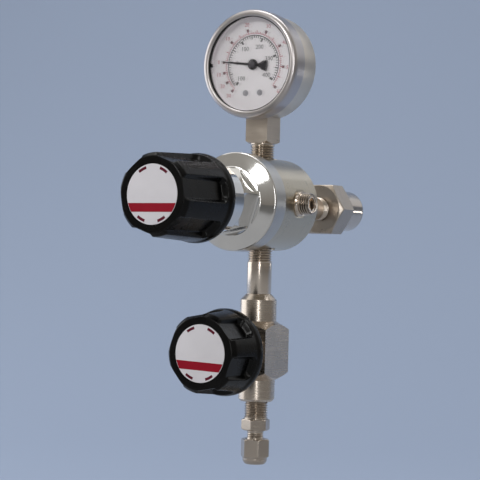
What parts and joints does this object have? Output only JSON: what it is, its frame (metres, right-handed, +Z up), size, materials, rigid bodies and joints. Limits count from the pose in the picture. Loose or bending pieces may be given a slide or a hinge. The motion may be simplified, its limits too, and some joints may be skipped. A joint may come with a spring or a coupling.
{
  "type": "point-of-use gas regulator",
  "caption": "Gas regulator with an adjusting knob, a pressure gauge on top, an outlet diaphragm valve and tube fitting below, a hexagon inlet coupling behind and a side relief outlet.",
  "frame": {"origin": "centre of the mouth of the tapped inlet port, at the back end of the inlet fitting", "axes": "+X to the side of the relief outlet, +Y out of the inlet port (away from the knobs, along the adjusting screw), +Z up, from the tube fitting to the gauge"},
  "size_m": [0.0632, 0.2076, 0.2526],
  "materials": {
    "plated_body": "nickel-plated bar, satin",
    "chrome_bonnet": "polished chrome plate",
    "stainless_fittings": "turned stainless steel",
    "stainless_inner": "fine-turned stainless steel",
    "steel_screws": "zinc-plated steel",
    "spring_steel": "drawn spring wire",
    "gauge_steel": "polished stainless sheet",
    "glass": "clear flat window",
    "gasket_rubber": "black rubber",
    "dial_white": "white satin enamel with printed scales",
    "pointer_black": "black satin paint",
    "brass": "machined brass",
    "sintered_bronze": "sintered bronze grains",
    "seat_plastic": "white fluoropolymer",
    "knob_black": "moulded black plastic, semi-gloss",
    "label_white": "printed white plastic disc"
  },
  "bodies": {
    "regulator": {"regulator_body": "plated_body", "bonnet": "chrome_bonnet", "inlet_nipple": "stainless_fittings", "inlet_coupling": "stainless_fittings", "inlet_end_fitting": "stainless_fittings", "relief_body": "stainless_fittings", "relief_key_plug": "stainless_fittings", "gauge_stem": "stainless_fittings", "outlet_nipple": "stainless_fittings", "valve_body": "stainless_fittings", "valve_bonnet": "stainless_fittings", "tube_connector": "stainless_fittings", "tube_nut": "stainless_fittings", "front_ferrule": "stainless_fittings", "back_ferrule": "stainless_fittings", "nozzle": "stainless_inner", "diaphragm": "stainless_inner", "valve_diaphragm": "stainless_inner", "load_spring": "spring_steel", "poppet_spring": "spring_steel", "relief_spring": "spring_steel", "gauge_case": "gauge_steel", "gauge_bezel": "gauge_steel", "gauge_window": "glass", "window_gasket": "gasket_rubber", "dial": "dial_white", "slip_ring": "brass", "movement_frame": "brass", "bourdon_tube": "brass", "inlet_filter": "sintered_bronze", "seat_insert": "seat_plastic", "valve_seat_ring": "seat_plastic"},
    "spring_carriage": {"spring_plate": "brass", "thrust_ball": "steel_screws"},
    "adjusting_knob": {"adjusting_knob": "knob_black", "adjusting_label": "label_white", "adjusting_screw": "steel_screws"},
    "diaphragm_plate": {"diaphragm_plate": "brass"},
    "poppet": {"poppet": "stainless_inner"},
    "relief_poppet": {"relief_poppet": "stainless_inner"},
    "pointer": {"pointer": "pointer_black", "arbor_pinion": "brass"},
    "sector": {"sector_gear": "brass"},
    "link": {"sector_link": "stainless_inner"},
    "stem_button": {"stem_button": "brass"},
    "valve_knob": {"valve_knob": "knob_black", "valve_label": "label_white", "valve_stem": "steel_screws"}
  },
  "joints": [
    {"name": "screw_feed", "type": "slide", "parent": "regulator", "child": "spring_carriage", "axis": [0, 1, 0], "range_m": [0, 0.0064], "deforming": ["load_spring"]},
    {"name": "knob_turn", "type": "hinge", "parent": "spring_carriage", "child": "adjusting_knob", "pos_m": [0, -0.186, 0], "axis": [0, 1, 0], "range_deg": [0, 1536]},
    {"name": "diaphragm_stroke", "type": "slide", "parent": "regulator", "child": "diaphragm_plate", "axis": [0, 1, 0], "range_m": [0, 0.0008], "stiffness_N_per_m": 3000, "springref_m": -0.0005, "deforming": ["diaphragm", "load_spring"]},
    {"name": "poppet_stroke", "type": "slide", "parent": "regulator", "child": "poppet", "axis": [0, 1, 0], "range_m": [0, 0.0008], "deforming": ["poppet_spring"]},
    {"name": "relief_lift", "type": "slide", "parent": "regulator", "child": "relief_poppet", "axis": [1, 0, 0], "range_m": [0, 0.0012], "stiffness_N_per_m": 2500, "springref_m": -0.0005, "deforming": ["relief_spring"]},
    {"name": "pointer_turn", "type": "hinge", "parent": "regulator", "child": "pointer", "pos_m": [0, -0.115, 0.0769], "axis": [0, 1, 0], "range_deg": [-53, 215], "stiffness_Nm_per_rad": 0.002},
    {"name": "sector_swing", "type": "hinge", "parent": "regulator", "child": "sector", "pos_m": [0.01324, -0.1064, 0.06579], "axis": [0, 1, 0], "range_deg": [-31, 8]},
    {"name": "link_swing", "type": "hinge", "parent": "sector", "child": "link", "pos_m": [0.01585, -0.1064, 0.0625], "axis": [0, 1, 0], "range_deg": [-8, 31]},
    {"name": "stem_lift", "type": "slide", "parent": "regulator", "child": "stem_button", "axis": [0, -1, 0], "range_m": [0, 0.00125]},
    {"name": "valve_knob_turn", "type": "hinge", "parent": "stem_button", "child": "valve_knob", "pos_m": [0, -0.141, -0.082], "axis": [0, -1, 0], "range_deg": [0, 450]}
  ],
  "couplings": [
    {"joint": "knob_turn", "follows": "screw_feed", "rad_per_m": 4188.8},
    {"joint": "poppet_stroke", "follows": "diaphragm_stroke", "ratio": 1},
    {"joint": "sector_swing", "follows": "pointer_turn", "ratio": -0.14286},
    {"joint": "link_swing", "follows": "pointer_turn", "ratio": 0.14286},
    {"joint": "valve_knob_turn", "follows": "stem_lift", "rad_per_m": 6283.2}
  ]
}
